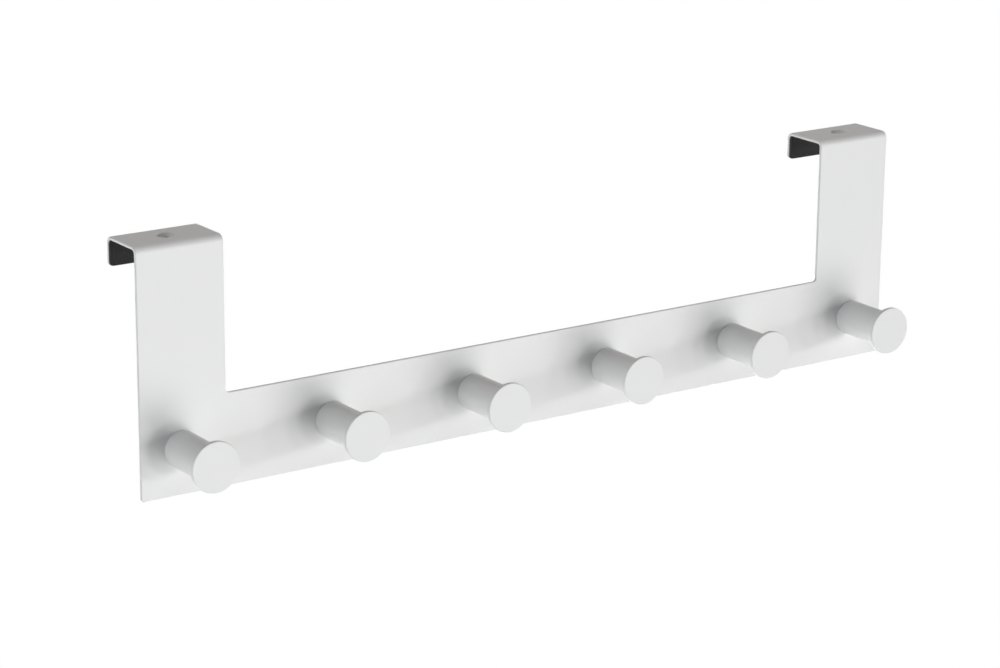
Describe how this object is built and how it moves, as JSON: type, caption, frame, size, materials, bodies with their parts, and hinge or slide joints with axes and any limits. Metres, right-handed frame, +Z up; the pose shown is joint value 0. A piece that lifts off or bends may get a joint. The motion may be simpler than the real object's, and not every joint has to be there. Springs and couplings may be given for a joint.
{
  "type": "over door hook",
  "caption": "Folded sheet rack whose end clips hook over a door's top edge, with a row of turned round-headed pegs that hold coats, bags or towels.",
  "frame": {"origin": "on the underside of the clips' tops, where the door's top edge bears, midway between the screw holes of the two clips", "axes": "+X along the rack, the pegs point to -Y, the back lips are at +Y, +Z up"},
  "size_m": [0.4, 0.0535, 0.108],
  "materials": {
    "white_powder_coat": "satin white powder coat",
    "foam_rubber": "matte black foam rubber",
    "zinc_plated_steel": "bright zinc plating"
  },
  "bodies": {
    "root": {"door_plate": "white_powder_coat", "peg_1": "white_powder_coat", "peg_2": "white_powder_coat", "peg_3": "white_powder_coat", "peg_4": "white_powder_coat", "peg_5": "white_powder_coat", "peg_6": "white_powder_coat", "peg_screw_1": "zinc_plated_steel", "peg_screw_2": "zinc_plated_steel", "peg_screw_3": "zinc_plated_steel", "peg_screw_4": "zinc_plated_steel", "peg_screw_5": "zinc_plated_steel", "peg_screw_6": "zinc_plated_steel", "left_lip_lining": "foam_rubber", "right_lip_lining": "foam_rubber", "left_corner_pad": "foam_rubber", "right_corner_pad": "foam_rubber"}
  },
  "joints": []
}
